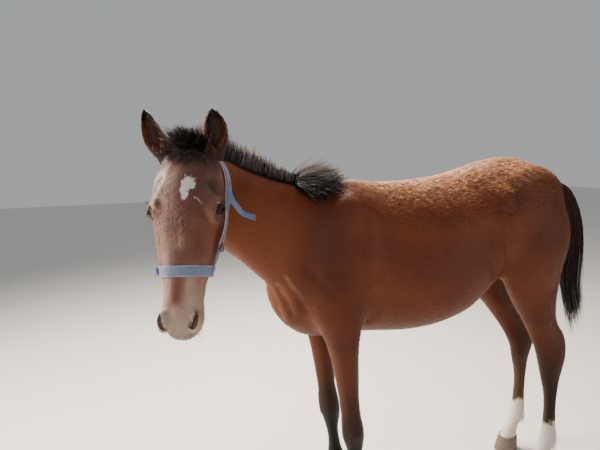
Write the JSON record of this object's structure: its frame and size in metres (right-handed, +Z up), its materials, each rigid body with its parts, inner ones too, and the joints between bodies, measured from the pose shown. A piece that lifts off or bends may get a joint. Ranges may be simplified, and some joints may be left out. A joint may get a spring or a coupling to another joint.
{
  "type": "standing young horse model",
  "caption": "Still, life-size young bay horse standing with its head turned to its left, in a webbing halter.",
  "frame": {"origin": "On the floor under the middle of the whole model's box, tail and head included", "axes": "+Z up; the horse's body faces -X, its left side faces -Y, and its head is turned towards -Y"},
  "size_m": [1.6495, 0.5944, 1.3939],
  "materials": {
    "bay_coat": "short, soft coat with a slight sheen",
    "black_hair": "coarse black hair",
    "eye": "wet gloss",
    "hoof_horn": "dull horn",
    "webbing": "woven, faded",
    "dull_metal": "dull, worn"
  },
  "bodies": {
    "root": {"head": "bay_coat", "neck": "bay_coat", "torso": "bay_coat", "foreleg_left": "bay_coat", "foreleg_right": "bay_coat", "hindleg_left": "bay_coat", "hindleg_right": "bay_coat", "tail": "black_hair", "ear_left": "black_hair", "ear_right": "black_hair", "eye_left": "eye", "eye_right": "eye", "hoof_fore_left": "hoof_horn", "hoof_fore_right": "hoof_horn", "hoof_hind_left": "hoof_horn", "hoof_hind_right": "hoof_horn", "noseband": "webbing", "headpiece": "webbing", "loose_strap_end": "webbing", "strap_knot": "webbing", "halter_ring": "dull_metal"}
  },
  "joints": []
}
